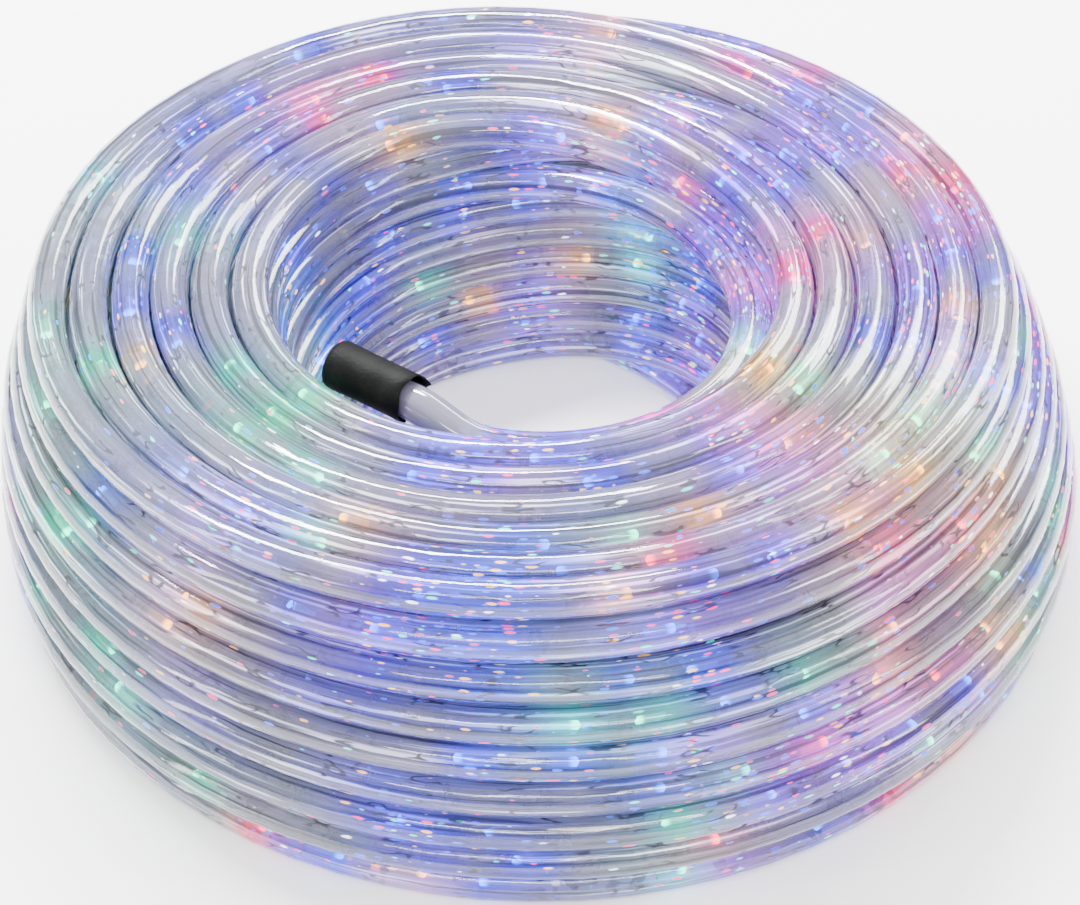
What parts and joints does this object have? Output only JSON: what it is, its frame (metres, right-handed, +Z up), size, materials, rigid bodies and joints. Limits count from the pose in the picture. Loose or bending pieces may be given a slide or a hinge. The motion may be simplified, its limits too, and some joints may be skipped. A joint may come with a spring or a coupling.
{
  "type": "led rope light",
  "caption": "Loose round coil of clear PVC LED rope light lying flat, with a black rubber cap on the free end inside the bore.",
  "frame": {"origin": "on the floor under the middle of the coil", "axes": "+Z up along the bore's axis, -Y towards the side where the coil stands highest"},
  "size_m": [0.3735, 0.3734, 0.1254],
  "materials": {
    "clear_pvc": "clear, slightly milky extruded PVC with glossy skin and faint lines along the rope",
    "black_rubber": "matt black moulded rubber",
    "lamp": "milky lamp capsules with small lit chips in several colours",
    "wire": "thin tinned wire"
  },
  "bodies": {
    "root": {"rope_coil": "clear_pvc", "rope_tail": "clear_pvc", "end_cap": "black_rubber"}
  },
  "joints": []
}
